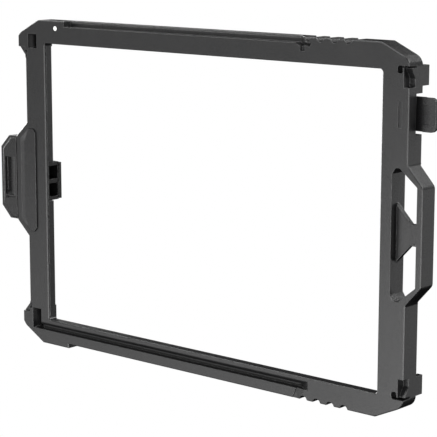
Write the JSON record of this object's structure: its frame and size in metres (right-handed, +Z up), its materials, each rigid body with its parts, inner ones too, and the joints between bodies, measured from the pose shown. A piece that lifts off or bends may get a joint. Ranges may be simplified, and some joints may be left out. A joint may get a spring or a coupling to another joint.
{
  "type": "filter frame",
  "caption": "Flat rectangular filter frame for a matte box, with a sprung side latch, a finger lever, a pull handle and stacking pegs.",
  "frame": {"origin": "on the optical axis through the middle of the opening, in the plane of the front face", "axes": "+X to the right seen from the front (towards the handle), +Y back through the frame towards the lens, +Z up"},
  "size_m": [0.1736, 0.0101, 0.1092],
  "materials": {
    "frame_plastic": "fine matte charcoal",
    "trim_plastic": "fine matte charcoal",
    "bolt_plastic": "matte black",
    "spring_steel": "drawn wire",
    "pin_steel": "ground",
    "plate_steel": "black oxide",
    "screw_steel": "black zinc",
    "pad_rubber": "fine foam",
    "dot_paint": "white filled dot"
  },
  "bodies": {
    "frame": {"main_frame": "frame_plastic", "latch_cover": "trim_plastic", "latch_spring_upper": "spring_steel", "latch_spring_lower": "spring_steel", "spring_pin_upper": "pin_steel", "spring_pin_lower": "pin_steel", "latch_back_plate": "plate_steel", "back_plate_screws": "screw_steel", "lever_pin": "pin_steel", "lever_spring": "spring_steel", "upper_pin_bracket": "plate_steel", "lower_pin_bracket": "plate_steel", "bracket_screws": "screw_steel", "upper_filter_keeper": "plate_steel", "lower_filter_keeper": "plate_steel", "keeper_screws": "screw_steel", "index_dot": "dot_paint", "top_filter_pad": "pad_rubber", "bottom_filter_pad": "pad_rubber", "right_filter_pad": "pad_rubber", "left_filter_pads": "pad_rubber"},
    "latch": {"latch_bolt": "bolt_plastic", "latch_grip": "trim_plastic", "grip_screws": "screw_steel"},
    "lever": {"lock_lever": "trim_plastic"}
  },
  "joints": [
    {"name": "latch_slide", "type": "slide", "parent": "frame", "child": "latch", "axis": [-1, 0, 0], "range_m": [0, 0.004], "stiffness_N_per_m": 300, "springref_m": -0.003, "deforming": ["latch_spring_upper", "latch_spring_lower"]},
    {"name": "lever_press", "type": "hinge", "parent": "frame", "child": "lever", "pos_m": [0.0742, 0.00505, 0.03435], "axis": [0, 0, 1], "range_deg": [0, 10], "stiffness_Nm_per_rad": 0.01, "springref_deg": -20.05, "deforming": ["lever_spring"]}
  ]
}
